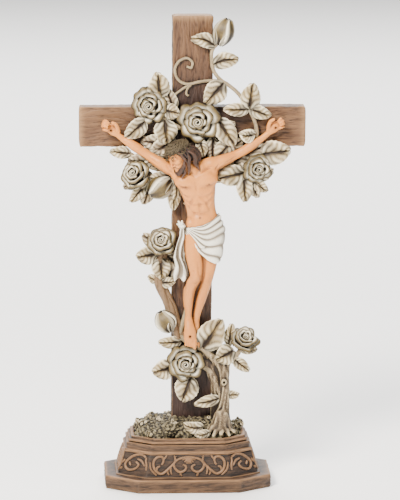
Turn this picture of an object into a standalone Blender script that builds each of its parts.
"""Standing crucifix: a moulded cross on an octagonal plinth, with a rose vine and a figure.

Metres, +Z up, the front faces -Y. The origin is on the ground under the middle of the cross.
Four pieces: the plinth, the cross, the rose vine with the mossy mound it grows from, and the
figure. Touching pieces keep a gap of 0.3 mm.
"""
import math
from collections import namedtuple

import bmesh
import bpy
from mathutils import Matrix, Vector, noise

MM = 0.001

# Overall sizes
OVERALL_HEIGHT = 305.0 * MM
GAP = 0.3 * MM

# Cross
POST_WIDTH = 26.0 * MM
BAR_LENGTH = 145.0 * MM
BAR_WIDTH = 26.0 * MM
BAR_CENTRE_Z = 233.4 * MM
BEAM_DEPTH = 12.0 * MM
BEAM_SET_BACK = 2.0 * MM
BEAM_EDGE = 1.4 * MM
HEWN_DEPTH = 0.45 * MM
HEWN_STEP = 17.0 * MM
SPLIT_DEPTH = 1.2 * MM

# Plinth, by tier from the ground up
PLINTH_DEPTH_SHARE = 0.615
FRONT_FACE_SHARE = 0.61
SIDE_FACE_SHARE = 0.56
PLINTH_OFFSET = -2.5 * MM
SLAB_WIDTH = 107.0 * MM
SLAB_HEIGHT = 8.6 * MM
SLAB_ROUND = 1.2 * MM
FILLET_WIDTH = 93.5 * MM
FILLET_HEIGHT = 1.0 * MM
SCROLL_FOOT_WIDTH = 90.0 * MM
SCROLL_HEAD_WIDTH = 81.0 * MM
SCROLL_HEIGHT = 13.7 * MM
BEAD_WIDTH = 82.5 * MM
BEAD_HEIGHT = 2.6 * MM
BAND_WIDTH = 79.5 * MM
BAND_HEIGHT = 3.7 * MM
RIM_WIDTH = 77.0 * MM
RIM_HEIGHT = 2.4 * MM
GROOVE_DEPTH = 1.0 * MM
CURB_WIDTH = 74.0 * MM
CURB_HEIGHT = 1.6 * MM
CURB_WALL = 2.4 * MM
CURB_RECESS = 1.2 * MM
SCROLL_RIB = 1.1 * MM

# Mound
MOUND_LENGTH = 66.0 * MM
MOUND_DEPTH = 38.5 * MM
MOUND_RISE = 11.8 * MM
MOUND_OFFSET = -3.0 * MM

# Vine, drawn at its own height and then set to size
VINE_HEIGHT = 271.0 * MM
VINE_DRAWN_HEIGHT = 271.0
STEM_RADIUS = 1.7 * MM
TENDRIL_RADIUS = 1.0 * MM
TRUNK_RADIUS = 3.2 * MM
LEAF_THICKNESS = 2.1 * MM
VINE_VOXEL = 0.85 * MM
VINE_FACES_KEPT = 0.028
LIP_RADIUS = 0.75 * MM

# Figure, drawn at its own height and then set to size
FIGURE_HEIGHT = 134.0 * MM
FIGURE_DRAWN_HEIGHT = 134.0
FIGURE_VOXEL = 0.6 * MM
FIGURE_FACES_KEPT = 0.032

# Worked out from the above
FACE_Y = BEAM_SET_BACK - BEAM_DEPTH / 2
PLINTH_TOP = (SLAB_HEIGHT + FILLET_HEIGHT + SCROLL_HEIGHT + BEAD_HEIGHT + BAND_HEIGHT
              + RIM_HEIGHT + CURB_HEIGHT)
PLINTH_FLOOR = PLINTH_TOP - CURB_RECESS
POST_FOOT = PLINTH_FLOOR + GAP
VINE_UNIT = VINE_HEIGHT / VINE_DRAWN_HEIGHT
FIGURE_UNIT = FIGURE_HEIGHT / FIGURE_DRAWN_HEIGHT

Finish = namedtuple("Finish", "name colour roughness")
Leaf = namedtuple("Leaf", "base tip width lift_base lift_tip")
Bloom = namedtuple("Bloom", "centre radius lift yaw pitch")
Bud = namedtuple("Bud", "base tip radius lift_base lift_tip")

PLINTH_RESIN = Finish("brown_resin", (0.21, 0.11, 0.07), 0.55)
CROSS_RESIN = Finish("wood_look_resin", (0.26, 0.15, 0.10), 0.60)
VINE_RESIN = Finish("ivory_resin", (0.66, 0.58, 0.43), 0.50)
FIGURE_RESIN = Finish("painted_resin", (0.80, 0.52, 0.34), 0.45)

# Leaves: (x, height over the plinth's floor) of the base and of the tip, width, and how far
# the base and the tip stand off the face of the cross, all in drawn millimetres
LEAVES = (
    Leaf((13.5, 253.5), (-1.0, 258.0), 8.0, 3.0, 3.0),
    Leaf((13.0, 241.5), (28.5, 244.5), 9.5, 2.5, 4.0),
    Leaf((-21.0, 220.0), (-22.5, 236.5), 12.0, 2.5, 4.0),
    Leaf((-18.0, 212.5), (-8.5, 210.5), 8.5, 3.5, 5.0),
    Leaf((-30.0, 206.0), (-42.5, 195.0), 10.0, 4.0, 5.0),
    Leaf((-18.0, 206.0), (-16.5, 191.5), 13.0, 3.5, 6.0),
    Leaf((-19.5, 191.0), (-32.5, 192.5), 8.5, 2.0, 2.0),
    Leaf((19.0, 229.5), (8.0, 217.5), 12.5, 4.0, 7.0),
    Leaf((15.5, 207.0), (26.5, 190.0), 11.5, 4.0, 6.0),
    Leaf((4.5, 193.5), (7.0, 182.5), 6.5, 3.0, 4.0),
    Leaf((22.5, 190.5), (16.5, 181.0), 9.0, 3.0, 4.5),
    Leaf((35.5, 212.5), (37.5, 229.5), 11.0, 4.0, 5.0),
    Leaf((35.5, 213.0), (19.0, 213.0), 7.5, 4.5, 6.0),
    Leaf((35.5, 213.5), (49.5, 208.5), 7.5, 4.0, 5.0),
    Leaf((39.5, 197.0), (29.5, 197.0), 8.0, 4.0, 5.0),
    Leaf((43.5, 183.5), (62.0, 186.5), 14.0, 2.5, 4.5),
    Leaf((33.0, 172.0), (15.5, 168.5), 12.0, 3.5, 5.0),
    Leaf((32.5, 170.0), (33.5, 153.5), 9.0, 3.5, 5.0),
    Leaf((38.5, 167.0), (47.5, 159.5), 6.5, 3.0, 3.0),
    Leaf((-39.5, 184.5), (-52.5, 186.0), 7.0, 2.0, 2.0),
    Leaf((-30.5, 164.5), (-39.5, 153.5), 7.0, 3.0, 4.0),
    Leaf((-12.0, 165.0), (-12.0, 148.0), 7.5, 2.5, 4.0),
    Leaf((-23.5, 119.5), (-35.5, 117.5), 10.5, 3.0, 4.0),
    Leaf((-20.5, 116.0), (-19.5, 104.0), 10.5, 4.0, 6.0),
    Leaf((-22.0, 101.5), (-28.5, 104.5), 5.0, 2.0, 2.0),
    Leaf((-21.0, 100.5), (-11.0, 101.5), 6.5, 3.0, 4.0),
    Leaf((-7.0, 62.0), (-21.5, 61.5), 7.0, 3.5, 5.0),
    Leaf((-12.5, 45.5), (-25.0, 42.0), 11.5, 4.0, 5.0),
    Leaf((-1.0, 38.0), (-6.5, 23.5), 13.5, 4.0, 6.5),
    Leaf((18.5, 25.0), (1.5, 21.5), 6.5, 5.5, 7.5),
    Leaf((6.0, 57.0), (18.5, 76.5), 15.5, 4.5, 5.0),
    Leaf((23.5, 59.0), (25.5, 73.0), 6.5, 3.0, 2.0),
    Leaf((26.5, 56.5), (15.5, 51.0), 11.5, 6.0, 8.0),
    Leaf((26.5, 51.0), (37.0, 42.5), 6.5, 5.0, 4.0),
    Leaf((22.5, 27.0), (30.5, 27.5), 5.0, 6.0, 6.0),
)

# Open roses: centre, radius, how far the bloom's middle stands off the cross, and where it looks
BLOOMS = (
    Bloom((-28.0, 215.5), 11.0, 5.0, -6.0, 0.0),
    Bloom((3.0, 205.5), 12.3, 5.5, -6.0, 0.0),
    Bloom((41.0, 174.5), 9.2, 5.5, 14.0, 0.0),
    Bloom((-36.5, 172.0), 7.6, 5.0, -38.0, 18.0),
    Bloom((-20.0, 127.0), 8.6, 6.5, -6.0, 24.0),
    Bloom((-4.5, 48.5), 11.3, 7.5, 0.0, 0.0),
    Bloom((33.5, 63.5), 8.4, 6.5, 12.0, 30.0),
)

BUDS = (
    Bud((17.0, 255.5), (21.3, 270.0), 4.6, 3.0, 4.0),
    Bud((-14.0, 69.0), (-20.3, 82.0), 5.8, 4.5, 5.5),
    Bud((-15.0, 168.5), (-26.0, 159.0), 5.6, 4.5, 5.5),
)

# Stems: (x, height over the plinth's floor, stand-off) along each, then its radius
STEMS = (
    (((20.0, 2.0, 8.0), (20.5, 12.0, 8.0), (21.5, 24.0, 6.5), (21.8, 34.0, 6.0),
      (21.0, 43.0, 5.5)), TRUNK_RADIUS),
    (((21.0, 41.0, 5.5), (17.0, 47.5, 5.0), (12.0, 52.5, 4.5), (5.0, 58.0, 4.0),
      (-2.5, 61.5, 3.0), (-8.5, 66.0, 3.0)), STEM_RADIUS),
    (((19.5, 24.0, 5.0), (16.0, 33.5, 4.5), (13.5, 40.0, 4.0), (8.5, 44.5, 3.5),
      (0.0, 46.5, 3.0)), STEM_RADIUS),
    (((21.0, 41.0, 5.5), (23.0, 48.0, 5.5), (27.5, 51.5, 5.5), (32.0, 58.0, 5.0)), STEM_RADIUS),
    (((-8.5, 66.0, 3.0), (-12.0, 75.0, 2.6), (-14.5, 84.0, 2.6), (-18.5, 93.0, 2.6),
      (-21.5, 101.5, 2.8), (-21.0, 112.0, 3.0), (-20.0, 122.0, 3.5)), STEM_RADIUS * 1.15),
    (((-8.5, 66.0, 3.0), (-6.0, 80.0, 1.8), (-4.5, 100.0, 1.8), (-4.0, 126.0, 1.8),
      (-3.5, 142.0, 1.8), (-5.0, 154.0, 1.8), (-9.5, 163.0, 2.2), (-15.0, 168.5, 2.6),
      (-21.0, 169.5, 2.6), (-30.0, 166.5, 3.0), (-34.5, 170.0, 3.2)), STEM_RADIUS),
    (((-12.0, 167.0, 2.2), (-20.0, 173.0, 2.2), (-28.0, 176.0, 2.2), (-40.0, 184.5, 2.0)),
     STEM_RADIUS * 0.85),
    (((-4.5, 151.0, 1.8), (-0.5, 160.0, 1.8), (2.0, 171.0, 1.8), (3.0, 181.0, 1.8),
      (3.5, 202.0, 2.2)), STEM_RADIUS),
    (((2.0, 170.0, 1.8), (11.0, 178.0, 1.8), (22.0, 180.5, 1.8), (31.0, 183.0, 1.8),
      (39.0, 187.0, 2.0), (45.0, 184.0, 2.4)), STEM_RADIUS),
    (((22.0, 180.5, 1.8), (28.0, 174.0, 2.2), (33.0, 170.0, 2.8), (40.0, 171.5, 3.0)),
     STEM_RADIUS),
    (((3.5, 202.0, 2.2), (-6.0, 200.5, 2.2), (-13.0, 203.0, 2.4), (-20.0, 208.0, 2.6),
      (-28.0, 214.5, 2.8)), STEM_RADIUS),
    (((-20.5, 181.0, 1.8), (-19.0, 192.5, 2.0), (-16.5, 203.0, 2.4)), STEM_RADIUS * 0.8),
    (((38.0, 186.0, 1.8), (40.5, 193.0, 2.4), (40.5, 200.0, 2.8), (38.8, 206.0, 3.0),
      (35.5, 213.0, 3.4)), STEM_RADIUS),
    (((35.5, 213.0, 3.4), (32.0, 218.5, 2.8), (27.5, 224.0, 2.4), (22.0, 228.5, 2.4),
      (17.5, 231.5, 2.4), (13.5, 236.5, 2.4), (11.8, 243.0, 2.4), (12.2, 250.5, 2.4),
      (17.0, 256.0, 2.8)), STEM_RADIUS * 0.85),
    (((18.5, 230.8, 1.6), (11.0, 230.8, 1.1), (4.0, 230.0, 1.1), (-3.0, 228.6, 1.1),
      (-8.0, 230.2, 1.1), (-11.0, 234.5, 1.1), (-11.2, 239.5, 1.1), (-8.5, 243.5, 1.1),
      (-4.0, 245.2, 1.1), (-0.5, 242.8, 1.1), (-1.0, 239.2, 1.1), (-4.0, 239.8, 1.1)),
     TENDRIL_RADIUS),
    (((-1.0, 229.0, 1.1), (-8.0, 224.5, 1.1), (-16.0, 218.0, 2.0)), TENDRIL_RADIUS),
    (((-0.5, 229.0, 1.1), (-3.2, 226.0, 1.1), (-4.2, 222.5, 1.1), (-2.8, 221.0, 1.2)),
     TENDRIL_RADIUS),
)

# Roots: ends on the mound, as (x, y) from the trunk's foot
ROOTS = ((-13.0, -4.0), (-9.0, -7.5), (-2.0, -7.0), (5.0, -5.5), (8.0, 0.5), (-4.0, 6.0))

# Figure: (x, height from the bar's centre line, stand-off) and radius, in drawn millimetres
Limb = namedtuple("Limb", "points radii")
LIMBS = (
    Limb(((-12.0, -26.0, 8.5), (-20.0, -22.5, 7.0), (-29.4, -17.7, 5.6), (-39.0, -10.5, 5.2),
          (-48.1, -4.7, 4.0)), (4.0, 3.5, 2.7, 2.9, 1.9)),
    Limb(((13.0, -22.0, 8.5), (22.5, -19.3, 7.0), (32.3, -15.0, 5.6), (40.5, -9.5, 5.2),
          (47.8, -3.9, 4.0)), (3.9, 3.3, 2.5, 2.7, 1.8)),
    Limb(((2.5, -70.0, 10.5), (1.5, -82.0, 14.5), (1.7, -93.2, 16.0), (-0.4, -101.0, 12.5),
          (-1.9, -110.0, 9.8), (-2.4, -124.0, 7.6)), (6.8, 5.8, 4.4, 4.2, 3.6, 2.2)),
    Limb(((12.5, -69.0, 9.5), (11.0, -82.0, 12.5), (8.6, -93.4, 13.0), (5.6, -102.0, 9.5),
          (3.9, -111.0, 7.0), (2.4, -125.5, 4.4)), (6.8, 5.6, 4.3, 4.0, 3.3, 2.1)),
    Limb(((-2.6, -124.5, 6.4), (-2.2, -131.5, 8.0), (-1.4, -138.5, 10.6)), (2.2, 2.9, 1.9)),
    Limb(((2.5, -125.0, 4.0), (2.9, -132.5, 5.4), (3.0, -138.5, 8.0)), (2.1, 2.5, 1.8)),
    Limb(((-1.0, -30.0, 9.5), (-3.0, -24.0, 12.0), (-5.5, -19.5, 14.0)), (4.6, 3.6, 3.4)),
    Limb(((-12.5, -26.0, 8.5), (-6.0, -27.5, 9.6), (1.0, -27.0, 9.8), (8.0, -24.8, 9.6),
          (13.2, -22.2, 8.5)), (4.2, 5.0, 5.4, 5.0, 4.0)),
    Limb(((1.2, -31.0, 9.8), (3.4, -42.0, 9.4), (5.3, -52.5, 9.0), (7.0, -64.0, 9.2)),
         (6.8, 6.4, 5.6, 6.6)),
    Limb(((-5.4, -33.0, 9.4), (-1.6, -45.0, 8.8), (0.2, -56.0, 8.6), (1.4, -66.0, 9.0)),
         (5.6, 4.8, 4.2, 5.6)),
    Limb(((8.8, -30.0, 9.4), (9.4, -43.0, 8.8), (10.2, -55.0, 8.6), (12.4, -66.0, 9.0)),
         (5.6, 4.8, 4.4, 5.8)),
)
Ball = namedtuple("Ball", "centre radii tilt")
BALLS = (
    Ball((1.0, -31.0, 9.6), (12.8, 7.2, 8.5), 8.0),
    Ball((2.6, -42.0, 9.4), (10.8, 6.6, 9.5), 10.0),
    Ball((-4.8, -34.2, 13.2), (6.4, 3.4, 4.6), 12.0),
    Ball((8.2, -31.8, 13.2), (6.4, 3.4, 4.6), 4.0),
    Ball((5.4, -53.5, 8.8), (8.4, 5.6, 8.5), 4.0),
    Ball((7.0, -65.5, 9.2), (11.6, 7.4, 8.6), 8.0),
    Ball((-7.4, -16.2, 14.6), (5.6, 6.4, 7.2), -14.0),
    Ball((-7.6, -13.6, 13.8), (6.6, 6.6, 6.4), -14.0),
    Ball((-8.9, -22.3, 17.2), (3.3, 3.2, 4.6), -8.0),
)
HAIR = (
    Limb(((-2.6, -9.5, 13.0), (1.4, -14.5, 12.6), (3.0, -20.0, 12.2), (3.9, -25.0, 12.4)),
         (2.2, 2.2, 1.8, 1.1)),
    Limb(((-3.4, -13.0, 16.4), (-1.4, -19.0, 15.4), (-2.2, -26.5, 15.4)), (1.8, 1.8, 1.1)),
    Limb(((-9.0, -22.5, 18.4), (-8.6, -27.0, 18.0), (-8.4, -29.5, 17.4)), (2.6, 1.9, 1.1)),
)
CLOTH = (
    Limb(((1.0, -64.0, 10.5), (8.0, -64.5, 10.5), (14.0, -64.0, 9.8)), (8.2, 8.8, 6.6)),
    Limb(((12.0, -68.0, 10.0), (14.0, -77.0, 10.5), (14.8, -84.0, 10.0)), (6.8, 5.2, 2.2)),
    Limb(((-8.0, -61.0, 13.0), (-9.3, -70.5, 12.0), (-10.4, -80.5, 11.0), (-8.0, -88.5, 11.6),
          (-8.4, -98.0, 10.8)), (1.4, 2.5, 2.9, 2.2, 1.4)),
    Limb(((-8.0, -86.0, 11.6), (-5.4, -91.0, 12.0), (-4.2, -94.0, 11.6)), (1.4, 1.8, 1.2)),
)
CLOTH_KNOT = (-6.2, -63.0, 13.6)
CLOTH_FOLD_ENDS = ((18.2, -58.5, 11.0), (19.2, -64.5, 12.6), (18.8, -71.0, 13.6),
                   (17.6, -77.5, 13.4), (15.4, -84.5, 11.8))
CLOTH_FOLD_RADIUS = 1.15
FINGER_RADIUS = 0.95


def clear_scene():
    """Remove every object that the file opened with."""
    for item in list(bpy.data.objects):
        bpy.data.objects.remove(item, do_unlink=True)


def new_collection(name):
    """Make a collection in the scene."""
    collection = bpy.data.collections.new(name)
    bpy.context.scene.collection.children.link(collection)
    return collection


def resin(finish):
    """Make a Principled material from a finish."""
    material = bpy.data.materials.new(finish.name)
    material.use_nodes = True
    shader = material.node_tree.nodes["Principled BSDF"]
    shader.inputs["Base Color"].default_value = (*finish.colour, 1.0)
    shader.inputs["Roughness"].default_value = finish.roughness
    shader.inputs["Metallic"].default_value = 0.0
    return material


def new_object(name, mesh, collection):
    """Wrap a mesh in an object in a collection."""
    item = bpy.data.objects.new(name, mesh)
    collection.objects.link(item)
    return item


def evaluated_mesh(item):
    """Give the mesh that an object shows in the viewport."""
    graph = bpy.context.evaluated_depsgraph_get()
    return bpy.data.meshes.new_from_object(item.evaluated_get(graph))


def add_tube(bm, points, radii, sides=2):
    """Add a round tube through the points, with closed ends, to a bmesh."""
    curve = bpy.data.curves.new("tube", "CURVE")
    curve.dimensions = "3D"
    curve.bevel_depth = 1.0
    curve.bevel_resolution = sides
    curve.use_fill_caps = True
    curve.resolution_u = 4
    spline = curve.splines.new("BEZIER")
    spline.bezier_points.add(len(points) - 1)
    for knot, point, radius in zip(spline.bezier_points, points, radii):
        knot.co = point
        knot.radius = radius
        knot.handle_left_type = "AUTO"
        knot.handle_right_type = "AUTO"
    item = bpy.data.objects.new("tube", curve)
    bpy.context.scene.collection.objects.link(item)
    mesh = evaluated_mesh(item)
    bm.from_mesh(mesh)
    bpy.data.objects.remove(item, do_unlink=True)
    bpy.data.meshes.remove(mesh)
    bpy.data.curves.remove(curve)


def add_ball(bm, centre, radii, turn=None):
    """Add an ellipsoid with its three radii, turned by a matrix, to a bmesh."""
    turn = turn or Matrix.Identity(4)
    place = Matrix.Translation(centre) @ turn @ Matrix.Diagonal((*radii, 1.0))
    bmesh.ops.create_uvsphere(bm, u_segments=16, v_segments=10, radius=1.0, matrix=place)


def add_limb(bm, points, radii):
    """Add a tube with a ball at each end to a bmesh."""
    add_tube(bm, points, radii)
    add_ball(bm, points[0], (radii[0],) * 3)
    add_ball(bm, points[-1], (radii[-1],) * 3)


def on_vine(x, height, lift):
    """Turn a drawn place on the vine into a point."""
    return Vector((x * VINE_UNIT, FACE_Y - lift * VINE_UNIT, PLINTH_FLOOR + height * VINE_UNIT))


def on_figure(x, height, lift):
    """Turn a drawn place on the figure into a point."""
    return Vector((x * FIGURE_UNIT, FACE_Y - lift * FIGURE_UNIT,
                   BAR_CENTRE_Z + height * FIGURE_UNIT))


def octagon(width, z):
    """Corners of a tier's plan, anticlockwise from the front's left corner."""
    half_x = width / 2
    half_y = width * PLINTH_DEPTH_SHARE / 2
    front = half_x * FRONT_FACE_SHARE
    side = half_y * SIDE_FACE_SHARE
    corners = ((-front, -half_y), (front, -half_y), (half_x, -side), (half_x, side),
               (front, half_y), (-front, half_y), (-half_x, side), (-half_x, -side))
    return [Vector((x + PLINTH_OFFSET, y, z)) for x, y in corners]


def plinth_profile():
    """Widths and heights of the plinth's tiers, from the ground up."""
    scroll_z = SLAB_HEIGHT + FILLET_HEIGHT
    bead_z = scroll_z + SCROLL_HEIGHT
    band_z = bead_z + BEAD_HEIGHT
    rim_z = band_z + BAND_HEIGHT
    curb_z = rim_z + RIM_HEIGHT
    groove_width = RIM_WIDTH - 2 * GROOVE_DEPTH
    groove_height = RIM_HEIGHT * 0.2
    return (
        (SLAB_WIDTH - SLAB_ROUND, 0.0),
        (SLAB_WIDTH, SLAB_ROUND),
        (SLAB_WIDTH, SLAB_HEIGHT - SLAB_ROUND),
        (SLAB_WIDTH - 2 * SLAB_ROUND, SLAB_HEIGHT),
        (FILLET_WIDTH, SLAB_HEIGHT + GROOVE_DEPTH * 0.1),
        (FILLET_WIDTH, scroll_z - FILLET_HEIGHT * 0.2),
        (SCROLL_FOOT_WIDTH, scroll_z),
        (SCROLL_HEAD_WIDTH, bead_z - BEAD_HEIGHT * 0.1),
        (BEAD_WIDTH, bead_z + BEAD_HEIGHT * 0.25),
        (BEAD_WIDTH, band_z - BEAD_HEIGHT * 0.35),
        (BAND_WIDTH, band_z),
        (BAND_WIDTH, rim_z - BAND_HEIGHT * 0.1),
        (groove_width, rim_z),
        (groove_width, rim_z + groove_height),
        (RIM_WIDTH, rim_z + 2 * groove_height),
        (RIM_WIDTH, curb_z - groove_height),
        (CURB_WIDTH, curb_z),
        (CURB_WIDTH, PLINTH_TOP),
        (CURB_WIDTH - 2 * CURB_WALL, PLINTH_TOP),
        (CURB_WIDTH - 2 * CURB_WALL, PLINTH_FLOOR),
    )


def spiral(centre, radius, start, turns, steps=7):
    """Points of a flat volute that winds inwards from a start angle in degrees."""
    points = []
    for step in range(steps):
        share = step / (steps - 1)
        angle = math.radians(start) + share * turns * math.tau
        reach = radius * (1.0 - 0.62 * share)
        points.append((centre[0] + reach * math.cos(angle), centre[1] + reach * math.sin(angle)))
    return points


def panel_scrolls(long_panel):
    """Volutes and stems of a panel, as (across, up) from its foot's middle, in panel heights."""
    if not long_panel:
        return (spiral((0.10, 0.42), 0.33, 95, -1.2),
                [(0.07, 0.74), (-0.28, 0.66), (-0.52, 0.36), (-0.60, 0.10)],
                [(-0.50, 0.86), (-0.10, 0.94), (0.34, 0.82), (0.58, 0.48)])
    strokes = []
    for side in (-1, 1):
        ring = spiral((1.30, 0.60), 0.33, 250, 1.15)
        stem = [(0.06, 0.95), (0.38, 0.88), (0.70, 0.48), (0.95, 0.24), (1.18, 0.28)]
        hook = [(0.54, 0.72), (0.58, 0.40), (0.34, 0.16), (0.14, 0.34), (0.26, 0.52)]
        for stroke in (ring, stem, hook):
            strokes.append([(side * across, up) for across, up in stroke])
    return strokes


def add_scrolls(bm):
    """Add the raised scrolls of the eight panels to a bmesh."""
    foot = octagon(SCROLL_FOOT_WIDTH, SLAB_HEIGHT + FILLET_HEIGHT)
    head = octagon(SCROLL_HEAD_WIDTH, SLAB_HEIGHT + FILLET_HEIGHT + SCROLL_HEIGHT)
    for index in range(8):
        after = (index + 1) % 8
        low = (foot[index] + foot[after]) / 2
        up = (head[index] + head[after]) / 2 - low
        across = (head[after] - head[index]).normalized() * up.length
        out = across.cross(up).normalized()
        for stroke in panel_scrolls(index in (0, 4)):
            points = [low + across * share + up * (0.10 + 0.80 * rise) + out * SCROLL_RIB * 0.3
                      for share, rise in stroke]
            add_rib(bm, points, SCROLL_RIB)


def add_rib(bm, points, radius):
    """Add a four-sided carved rib that follows the points to a bmesh."""
    curve = bpy.data.curves.new("rib", "CURVE")
    curve.dimensions = "3D"
    curve.bevel_depth = radius
    curve.bevel_resolution = 0
    curve.use_fill_caps = True
    spline = curve.splines.new("POLY")
    spline.points.add(len(points) - 1)
    for knot, point in zip(spline.points, points):
        knot.co = (*point, 1.0)
    spline.points[-1].radius = 0.75
    item = bpy.data.objects.new("rib", curve)
    bpy.context.scene.collection.objects.link(item)
    mesh = evaluated_mesh(item)
    part = bmesh.new()
    part.from_mesh(mesh)
    bmesh.ops.remove_doubles(part, verts=part.verts, dist=1e-6)
    bmesh.ops.recalc_face_normals(part, faces=part.faces)
    part.to_mesh(mesh)
    part.free()
    bm.from_mesh(mesh)
    bpy.data.objects.remove(item, do_unlink=True)
    bpy.data.meshes.remove(mesh)
    bpy.data.curves.remove(curve)


def make_plinth(collection, cutters):
    """Build the octagonal plinth as one stack of tiers with its scrolls raised on it."""
    bm = bmesh.new()
    profile = plinth_profile()
    rings = [[bm.verts.new(corner) for corner in octagon(width, z)] for width, z in profile]
    bm.faces.new(list(reversed(rings[0])))
    for lower, upper in zip(rings, rings[1:]):
        for index in range(8):
            after = (index + 1) % 8
            bm.faces.new((lower[index], lower[after], upper[after], upper[index]))
    bm.faces.new(rings[-1])
    mesh = bpy.data.meshes.new("plinth")
    bm.to_mesh(mesh)
    bm.free()
    plinth = new_object("plinth", mesh, collection)

    ribs = bmesh.new()
    add_scrolls(ribs)
    rib_mesh = bpy.data.meshes.new("plinth_scrolls")
    ribs.to_mesh(rib_mesh)
    ribs.free()
    scrolls = new_cutter("plinth_scrolls", rib_mesh, cutters)
    raised_by(plinth, scrolls)
    return plinth


def new_cutter(name, mesh, cutters):
    """Make a helper object that shapes another one and isn't a piece itself."""
    cutter = new_object(name, mesh, cutters)
    cutter.hide_render = True
    cutter.display_type = "WIRE"
    return cutter


def cross_outline(grow):
    """Corners of the cross seen from the front, grown outwards on every side."""
    half_post = POST_WIDTH / 2 + grow
    half_bar = BAR_LENGTH / 2 + grow
    foot = POST_FOOT - grow
    top = OVERALL_HEIGHT + grow
    low = BAR_CENTRE_Z - BAR_WIDTH / 2 - grow
    high = BAR_CENTRE_Z + BAR_WIDTH / 2 + grow
    return ((-half_post, foot), (half_post, foot), (half_post, low), (half_bar, low),
            (half_bar, high), (half_post, high), (half_post, top), (-half_post, top),
            (-half_post, high), (-half_bar, high), (-half_bar, low), (-half_post, low))


def cross_mesh(name, grow, edge):
    """Build the cross from its outline, with its rims eased by edge."""
    bm = bmesh.new()
    front = BEAM_SET_BACK - BEAM_DEPTH / 2 - grow
    corners = [bm.verts.new((x, front, z)) for x, z in cross_outline(grow)]
    face = bm.faces.new(corners)
    moved = bmesh.ops.extrude_face_region(bm, geom=[face])
    back = [item for item in moved["geom"] if isinstance(item, bmesh.types.BMVert)]
    bmesh.ops.translate(bm, verts=back, vec=(0.0, BEAM_DEPTH + 2 * grow, 0.0))
    if edge > 0:
        rims = [item for item in bm.edges if item.is_manifold and item.calc_face_angle(0) > 1.0]
        bmesh.ops.bevel(bm, geom=rims, offset=edge, segments=1, affect="EDGES")
    bmesh.ops.recalc_face_normals(bm, faces=bm.faces)
    mesh = bpy.data.meshes.new(name)
    bm.to_mesh(mesh)
    bm.free()
    return mesh


def hew(mesh):
    """Cut the beams' long faces across and press them in unevenly, as hewn wood is."""
    bm = bmesh.new()
    bm.from_mesh(mesh)
    start = POST_FOOT + HEWN_STEP
    rows = int((OVERALL_HEIGHT - start) / HEWN_STEP)
    for row in range(rows):
        level = start + row * HEWN_STEP
        bmesh.ops.bisect_plane(bm, geom=bm.verts[:] + bm.edges[:] + bm.faces[:],
                               plane_co=(0, 0, level), plane_no=(0, 0, 1))
    columns = int(BAR_LENGTH / HEWN_STEP)
    for column in range(1, columns):
        place = -BAR_LENGTH / 2 + column * BAR_LENGTH / columns
        if abs(place) > POST_WIDTH / 2:
            bmesh.ops.bisect_plane(bm, geom=bm.verts[:] + bm.edges[:] + bm.faces[:],
                                   plane_co=(place, 0, 0), plane_no=(1, 0, 0))
    middle = Vector((0.0, BEAM_SET_BACK, 0.0))
    for vert in bm.verts:
        if vert.co.z < POST_FOOT + BEAM_EDGE:
            continue
        push = noise.noise(vert.co / (9.0 * MM)) * 0.5 + 0.5
        inward = -vert.normal
        inward.y = inward.y * 0.5 if vert.co.y > middle.y else inward.y * 0.35
        vert.co += inward * push * HEWN_DEPTH * 2
    bmesh.ops.triangulate(bm, faces=[face for face in bm.faces if len(face.verts) > 4])
    bm.to_mesh(mesh)
    bm.free()


def add_splits(bm):
    """Add the wedges that open the splits in the post's head and the bar's ends to a bmesh."""
    top = OVERALL_HEIGHT
    splits = (
        ((-0.25, 0.0, top), (-0.22, 0.0, top - 14 * MM), 0.9 * MM),
        ((0.16, 0.0, top), (0.21, 0.0, top - 15 * MM), 1.1 * MM),
        ((-0.04, 0.0, top), (0.08, 0.0, top - 9 * MM), 0.8 * MM),
    )
    for start, end, half in splits:
        high = Vector((start[0] * POST_WIDTH, FACE_Y, start[2] + MM))
        low = Vector((end[0] * POST_WIDTH, FACE_Y, end[2]))
        along = low - high
        turn = along.to_track_quat("Z", "Y").to_matrix().to_4x4()
        place = Matrix.Translation((high + low) / 2) @ turn
        bmesh.ops.create_cone(bm, cap_ends=True, segments=4, radius1=half * 1.3,
                              radius2=half * 0.15, depth=along.length,
                              matrix=place @ Matrix.Diagonal((1.0, SPLIT_DEPTH / MM, 1.0, 1.0)))


def make_cross(collection, cutters):
    """Build the cross of two hewn beams with the splits in its head."""
    mesh = cross_mesh("cross", 0.0, BEAM_EDGE)
    hew(mesh)
    cross = new_object("cross", mesh, collection)
    bm = bmesh.new()
    add_splits(bm)
    split_mesh = bpy.data.meshes.new("cross_splits")
    bm.to_mesh(split_mesh)
    bm.free()
    splits = new_cutter("cross_splits", split_mesh, cutters)
    cut = cross.modifiers.new("splits", "BOOLEAN")
    cut.operation = "DIFFERENCE"
    cut.solver = "EXACT"
    cut.object = splits
    return cross


def looking(yaw, pitch):
    """Matrix that turns +Z to look out of the cross's face, swung by yaw and raised by pitch."""
    return (Matrix.Rotation(math.radians(yaw), 4, "Z")
            @ Matrix.Rotation(math.radians(90.0 - pitch), 4, "X"))


def bloom_place(bloom):
    """Matrix of a bloom, whose +Z is where it looks."""
    return Matrix.Translation(on_vine(*bloom.centre, bloom.lift)) @ looking(bloom.yaw, bloom.pitch)


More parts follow.
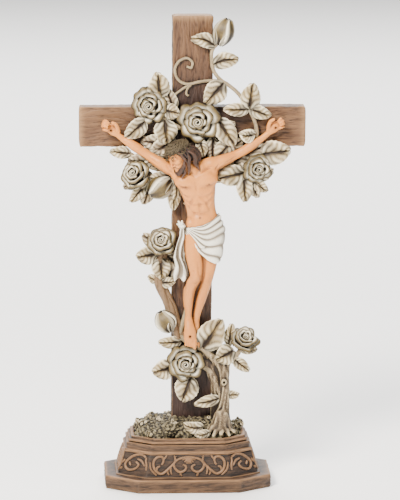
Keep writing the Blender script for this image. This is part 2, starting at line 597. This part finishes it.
def add_bloom(bm, bloom):
    """Add an open rose: a ring of broad petals round a dome."""
    radius = bloom.radius * VINE_UNIT
    place = bloom_place(bloom)
    petals = 5
    for petal in range(petals):
        swing = Matrix.Rotation(math.tau * (petal + 0.2) / petals, 4, "Z")
        seat = place @ swing @ Matrix.Translation((radius * 0.54, 0.0, 0.0))
        lean = seat @ Matrix.Rotation(math.radians(-30), 4, "Y")
        shape = Matrix.Diagonal((radius * 0.50, radius * 0.54, radius * 0.15, 1.0))
        bmesh.ops.create_uvsphere(bm, u_segments=14, v_segments=8, radius=1.0,
                                  matrix=lean @ shape)
    shape = Matrix.Diagonal((radius * 0.60, radius * 0.60, radius * 0.46, 1.0))
    bmesh.ops.create_uvsphere(bm, u_segments=16, v_segments=10, radius=1.0,
                              matrix=place @ shape)


def add_bloom_lips(bm, bloom):
    """Add the spiral of petal lips that rises over a rose's dome."""
    radius = bloom.radius * VINE_UNIT
    place = bloom_place(bloom)
    turns = 2.0
    steps = 13
    points = []
    for step in range(steps):
        share = step / (steps - 1)
        angle = share * turns * math.tau
        reach = radius * (0.62 - 0.50 * share)
        height = radius * (0.20 + 0.30 * share)
        points.append(place @ Vector((reach * math.cos(angle), reach * math.sin(angle), height)))
    add_rib(bm, points, LIP_RADIUS + radius * 0.05)


def add_bud(bm, bud):
    """Add a closed bud with the rim of an outer petal and a cup of sepals."""
    base = on_vine(*bud.base, bud.lift_base)
    tip = on_vine(*bud.tip, bud.lift_tip)
    radius = bud.radius * VINE_UNIT
    axis = tip - base
    turn = axis.to_track_quat("Z", "Y").to_matrix().to_4x4()
    middle = base + axis * 0.52
    add_ball(bm, middle, (radius, radius * 0.85, axis.length * 0.5), turn)
    add_limb(bm, [base - axis * 0.12, base + axis * 0.14], [radius * 0.34, radius * 0.6])
    side = turn @ Vector((1.0, 0.0, 0.0)) * radius
    front = Vector((0.0, -radius * 0.80, 0.0))
    rim = [base + axis * 0.16 + side * 0.9, base + axis * 0.30 + side * 0.35 + front,
           base + axis * 0.62 - side * 0.20 + front * 1.05, base + axis * 0.95 - side * 0.30]
    add_tube(bm, rim, [radius * 0.14] * 4, sides=1)


def add_leaf(bm, leaf):
    """Add a cupped leaf with a raised midrib to a bmesh."""
    base = on_vine(*leaf.base, leaf.lift_base)
    tip = on_vine(*leaf.tip, leaf.lift_tip)
    along = tip - base
    half = leaf.width * VINE_UNIT / 2
    across = along.cross(Vector((0.0, -1.0, 0.0))).normalized()
    out = across.cross(along).normalized()
    sheet = bmesh.new()
    rows, columns = 9, 5
    bmesh.ops.create_grid(sheet, x_segments=columns - 1, y_segments=rows - 1, size=1.0)
    for vert in sheet.verts:
        side = vert.co.x
        way = (vert.co.y + 1.0) / 2
        girth = math.sin(math.pi * (0.06 + 0.90 * way) ** 0.80) ** 0.75
        bow = math.sin(math.pi * way) * along.length * 0.10
        cup = abs(side) * half * 0.24
        vert.co = base + along * way + across * side * half * girth + out * (bow + cup * girth)
    mesh = bpy.data.meshes.new("leaf")
    sheet.to_mesh(mesh)
    sheet.free()
    item = bpy.data.objects.new("leaf", mesh)
    bpy.context.scene.collection.objects.link(item)
    wall = item.modifiers.new("wall", "SOLIDIFY")
    wall.thickness = LEAF_THICKNESS
    wall.offset = 0.0
    solid = evaluated_mesh(item)
    bm.from_mesh(solid)
    bpy.data.objects.remove(item, do_unlink=True)
    bpy.data.meshes.remove(mesh)
    bpy.data.meshes.remove(solid)


def add_mound(bm):
    """Add the mound, its lumps of moss and the roots that spread over it to a bmesh."""
    steps = ((1.0, -0.1), (1.0, 0.22), (0.93, 0.55), (0.78, 0.84), (0.52, 1.0))
    share = MOUND_DEPTH / MOUND_LENGTH
    rings = []
    for width, rise in steps:
        half = MOUND_LENGTH / 2 * width
        ring = []
        for index in range(16):
            angle = math.tau * (index + 0.5) / 16
            wave = 1.0 + 0.07 * noise.noise((math.cos(angle) * 2, math.sin(angle) * 2, rise * 3))
            square = 1.0 / (abs(math.cos(angle)) ** 3 + abs(math.sin(angle)) ** 3) ** (1 / 3)
            reach = half * wave * square
            ring.append(bm.verts.new((MOUND_OFFSET + reach * math.cos(angle),
                                      reach * share * math.sin(angle),
                                      PLINTH_FLOOR + MOUND_RISE * rise * (2 - wave))))
        rings.append(ring)
    bm.faces.new(list(reversed(rings[0])))
    for lower, upper in zip(rings, rings[1:]):
        for index in range(16):
            after = (index + 1) % 16
            bm.faces.new((lower[index], lower[after], upper[after], upper[index]))
    bm.faces.new(rings[-1])
    add_moss(bm)
    foot = on_vine(20.0, 9.0, 8.0)
    for across, depth in ROOTS:
        end = foot + Vector((across * VINE_UNIT, depth * VINE_UNIT, 0.0))
        end.z = PLINTH_FLOOR + MOUND_RISE * 0.45
        knee = (foot + end) / 2 + Vector((0.0, 0.0, 1.2 * MM))
        add_tube(bm, [foot + Vector((0, 0, 3 * MM)), knee, end],
                 [TRUNK_RADIUS * 0.8, TRUNK_RADIUS * 0.5, TRUNK_RADIUS * 0.4], sides=1)


def add_moss(bm):
    """Add the lumps of moss that lie round the mound to a bmesh."""
    lumps = 13
    golden = math.pi * (3.0 - math.sqrt(5.0))
    for lump in range(lumps):
        height = 0.30 + 0.60 * (lump + 0.5) / lumps
        reach = 1.0 - 0.45 * height ** 3
        angle = lump * golden
        spot = Vector((MOUND_LENGTH / 2 * reach * math.cos(angle) * 0.90,
                       MOUND_DEPTH / 2 * reach * math.sin(angle) * 0.90, MOUND_RISE * height))
        size = (4.4 + 2.0 * noise.noise(spot / (4.0 * MM))) * MM
        centre = Vector((MOUND_OFFSET, 0.0, PLINTH_FLOOR)) + spot
        add_ball(bm, centre, (size * 1.2, size * 0.8, size * 0.7))


def soft_solid(name, bm, voxel, kept, collection):
    """Fuse everything in a bmesh into one soft skin, with as few faces as its form needs."""
    mesh = bpy.data.meshes.new(name)
    bm.to_mesh(mesh)
    bm.free()
    item = new_object(name, mesh, collection)
    skin = item.modifiers.new("skin", "REMESH")
    skin.mode = "VOXEL"
    skin.voxel_size = voxel
    ease = item.modifiers.new("ease", "SMOOTH")
    ease.factor = 0.5
    ease.iterations = 2
    thin = item.modifiers.new("thin", "DECIMATE")
    thin.ratio = kept
    fused = evaluated_mesh(item)
    bpy.data.objects.remove(item, do_unlink=True)
    fused.name = name
    return new_object(name, keep_main_body(fused), collection)


def keep_main_body(mesh):
    """Keep the largest connected body of a mesh."""
    bm = bmesh.new()
    bm.from_mesh(mesh)
    left = set(bm.verts)
    bodies = []
    while left:
        stack = [left.pop()]
        body = list(stack)
        while stack:
            vert = stack.pop()
            for edge in vert.link_edges:
                other = edge.other_vert(vert)
                if other in left:
                    left.remove(other)
                    stack.append(other)
                    body.append(other)
        bodies.append(body)
    bodies.sort(key=len)
    for body in bodies[:-1]:
        bmesh.ops.delete(bm, geom=body, context="VERTS")
    bmesh.ops.recalc_face_normals(bm, faces=bm.faces)
    bm.to_mesh(mesh)
    bm.free()
    return mesh


def figure_shapes(grow):
    """Put the figure's forms in a new bmesh, each grown outwards."""
    bm = bmesh.new()

    def limb(part):
        points = [on_figure(*point) for point in part.points]
        add_limb(bm, points, [radius * FIGURE_UNIT + grow for radius in part.radii])

    for part in LIMBS + HAIR + CLOTH:
        limb(part)
    for ball in BALLS:
        radii = [radius * FIGURE_UNIT + grow for radius in ball.radii]
        turn = Matrix.Rotation(math.radians(ball.tilt), 4, "Y")
        add_ball(bm, on_figure(*ball.centre), radii, turn)
    add_crown(bm, grow)
    add_hands_and_toes(bm, grow)
    add_folds(bm, grow)
    return bm


def add_crown(bm, grow):
    """Add the twisted band round the head to a bmesh."""
    centre = on_figure(-8.0, -12.0, 14.2)
    turn = Matrix.Rotation(math.radians(-16), 4, "Y") @ Matrix.Rotation(math.radians(18), 4, "X")
    reach = 6.7 * FIGURE_UNIT
    for strand in (0.0, math.pi):
        points = []
        for step in range(25):
            angle = math.tau * step / 24
            twist = 5 * angle + strand
            wide = reach + 0.6 * FIGURE_UNIT * math.cos(twist)
            rise = 0.6 * FIGURE_UNIT * math.sin(twist)
            spot = Vector((wide * math.cos(angle), wide * math.sin(angle), rise))
            points.append(centre + turn @ spot)
        add_tube(bm, points, [0.95 * FIGURE_UNIT + grow] * 25, sides=1)


def add_hands_and_toes(bm, grow):
    """Add the palms, the curled fingers and the toes to a bmesh."""
    thick = FINGER_RADIUS * FIGURE_UNIT + grow
    hands = (((-52.0, -1.6, 3.4), -1.0, 38.0), ((52.4, -0.6, 3.4), 1.0, 46.0))
    for palm, side, slant in hands:
        turn = Matrix.Rotation(math.radians(slant * side * -1.0), 4, "Y")
        size = [radius * FIGURE_UNIT + grow for radius in (3.9, 1.7, 2.9)]
        centre = on_figure(*palm)
        add_ball(bm, centre, size, turn)
        along = turn @ Vector((side, 0.0, 0.0))
        beside = turn @ Vector((0.0, 0.0, 1.0))
        unit = FIGURE_UNIT
        for finger in range(4):
            offset = beside * (1.9 - 1.25 * finger) * unit
            root = centre + offset + along * 2.4 * unit
            joint = root + along * 2.3 * unit + Vector((0.0, -1.6 * unit, 0.0))
            end = joint - along * 0.9 * unit + Vector((0.0, -1.5 * unit, 0.0))
            add_limb(bm, [root, joint, end], [thick, thick, thick * 0.9])
        thumb = centre + beside * 2.4 * unit - along * 0.6 * unit
        add_limb(bm, [thumb, thumb + beside * 2.4 * unit + along * 1.0 * unit
                      + Vector((0.0, -0.8 * unit, 0.0))], [thick, thick * 0.9])
    for toe_x, toe_z, toe_lift in ((-3.4, -140.0, 10.6), (-2.0, -140.8, 11.0),
                                   (-0.4, -140.8, 11.0), (3.2, -140.2, 8.6)):
        toe = on_figure(toe_x, toe_z, toe_lift)
        size = 1.1 * FIGURE_UNIT + grow
        add_ball(bm, toe, (size, size * 1.2, size * 1.3))


def add_folds(bm, grow):
    """Add the folds of the loincloth, spread from its knot, and the knot's bow to a bmesh."""
    knot = on_figure(*CLOTH_KNOT)
    for end in CLOTH_FOLD_ENDS:
        far = on_figure(*end)
        sag = (end[1] - CLOTH_KNOT[1]) * 0.42
        middle = on_figure((CLOTH_KNOT[0] + end[0]) * 0.5, CLOTH_KNOT[1] + sag, 19.2)
        near = knot.lerp(middle, 0.45) + Vector((0.0, -1.8 * FIGURE_UNIT, 0.0))
        past = middle.lerp(far, 0.55) + Vector((0.0, -1.6 * FIGURE_UNIT, 0.0))
        thick = CLOTH_FOLD_RADIUS * FIGURE_UNIT + grow
        add_tube(bm, [knot, near, middle, past, far],
                 [thick * 0.8, thick, thick, thick, thick * 0.8], sides=1)
    for across, rise in ((-2.8, 1.6), (1.2, 2.2), (-1.6, -0.8), (-0.6, 1.2)):
        lobe = on_figure(-7.4 + across, -61.0 + rise, 13.6)
        size = 1.9 * FIGURE_UNIT + grow
        add_ball(bm, lobe, (size, size * 0.9, size * 0.9))


def raised_by(item, relief):
    """Join carved ribs to a solid."""
    join = item.modifiers.new("with_" + relief.name, "BOOLEAN")
    join.operation = "UNION"
    join.solver = "EXACT"
    join.use_self = True
    join.object = relief


def cut_by(item, cutter):
    """Cut one solid away from another."""
    cut = item.modifiers.new("clear_of_" + cutter.name, "BOOLEAN")
    cut.operation = "DIFFERENCE"
    cut.solver = "EXACT"
    cut.object = cutter


def bake_cuts(item):
    """Fix an object's cuts in its mesh and drop what they cut loose."""
    mesh = evaluated_mesh(item)
    item.modifiers.clear()
    item.data = keep_main_body(mesh)


def floor_cutter(cutters):
    """A block under the mound that trims it flat over the plinth's floor."""
    bm = bmesh.new()
    height = 40 * MM
    size = Matrix.Diagonal((SLAB_WIDTH * 2, SLAB_WIDTH * 2, height, 1.0))
    place = Matrix.Translation((0.0, 0.0, PLINTH_FLOOR + GAP - height / 2))
    bmesh.ops.create_cube(bm, size=1.0, matrix=place @ size)
    mesh = bpy.data.meshes.new("floor_trim")
    bm.to_mesh(mesh)
    bm.free()
    return new_cutter("floor_trim", mesh, cutters)


def make_figure(collection, cutters, cross_room):
    """Build the figure, fitted to the face of the cross."""
    figure = soft_solid("corpus", figure_shapes(0.0), FIGURE_VOXEL, FIGURE_FACES_KEPT,
                        collection)
    cut_by(figure, cross_room)
    bake_cuts(figure)
    room = soft_solid("corpus_room", figure_shapes(GAP * 1.6), FIGURE_VOXEL,
                      FIGURE_FACES_KEPT, cutters)
    room.hide_render = True
    room.display_type = "WIRE"
    return figure, room


def make_vine(collection, cutters, cross_room, figure_room):
    """Build the vine and its mound, fitted round the cross and the figure."""
    bm = bmesh.new()
    for points, radius in STEMS:
        add_limb(bm, [on_vine(*point) for point in points], [radius] * len(points))
    for leaf in LEAVES:
        add_leaf(bm, leaf)
    for bloom in BLOOMS:
        add_bloom(bm, bloom)
    for bud in BUDS:
        add_bud(bm, bud)
    add_mound(bm)
    vine = soft_solid("rose_vine", bm, VINE_VOXEL, VINE_FACES_KEPT, collection)
    lips = bmesh.new()
    for bloom in BLOOMS:
        add_bloom_lips(lips, bloom)
    lip_mesh = bpy.data.meshes.new("petal_lips")
    lips.to_mesh(lip_mesh)
    lips.free()
    raised_by(vine, new_cutter("petal_lips", lip_mesh, cutters))
    for cutter in (floor_cutter(cutters), cross_room, figure_room):
        cut_by(vine, cutter)
    bake_cuts(vine)
    return vine


def shade(item, finish):
    """Give an object its material and smooth its round parts."""
    item.data.materials.clear()
    item.data.materials.append(resin(finish))
    item.data.shade_smooth()
    item.data.set_sharp_from_angle(angle=math.radians(40))


def main():
    """Build the four pieces of the crucifix."""
    clear_scene()
    pieces = new_collection("standing_crucifix")
    cutters = new_collection("cutters")
    plinth = make_plinth(pieces, cutters)
    cross = make_cross(pieces, cutters)
    cross_room = new_cutter("cross_room", cross_mesh("cross_room", GAP, 0.0), cutters)
    figure, figure_room = make_figure(pieces, cutters, cross_room)
    vine = make_vine(pieces, cutters, cross_room, figure_room)
    shade(plinth, PLINTH_RESIN)
    shade(cross, CROSS_RESIN)
    shade(vine, VINE_RESIN)
    shade(figure, FIGURE_RESIN)


main()
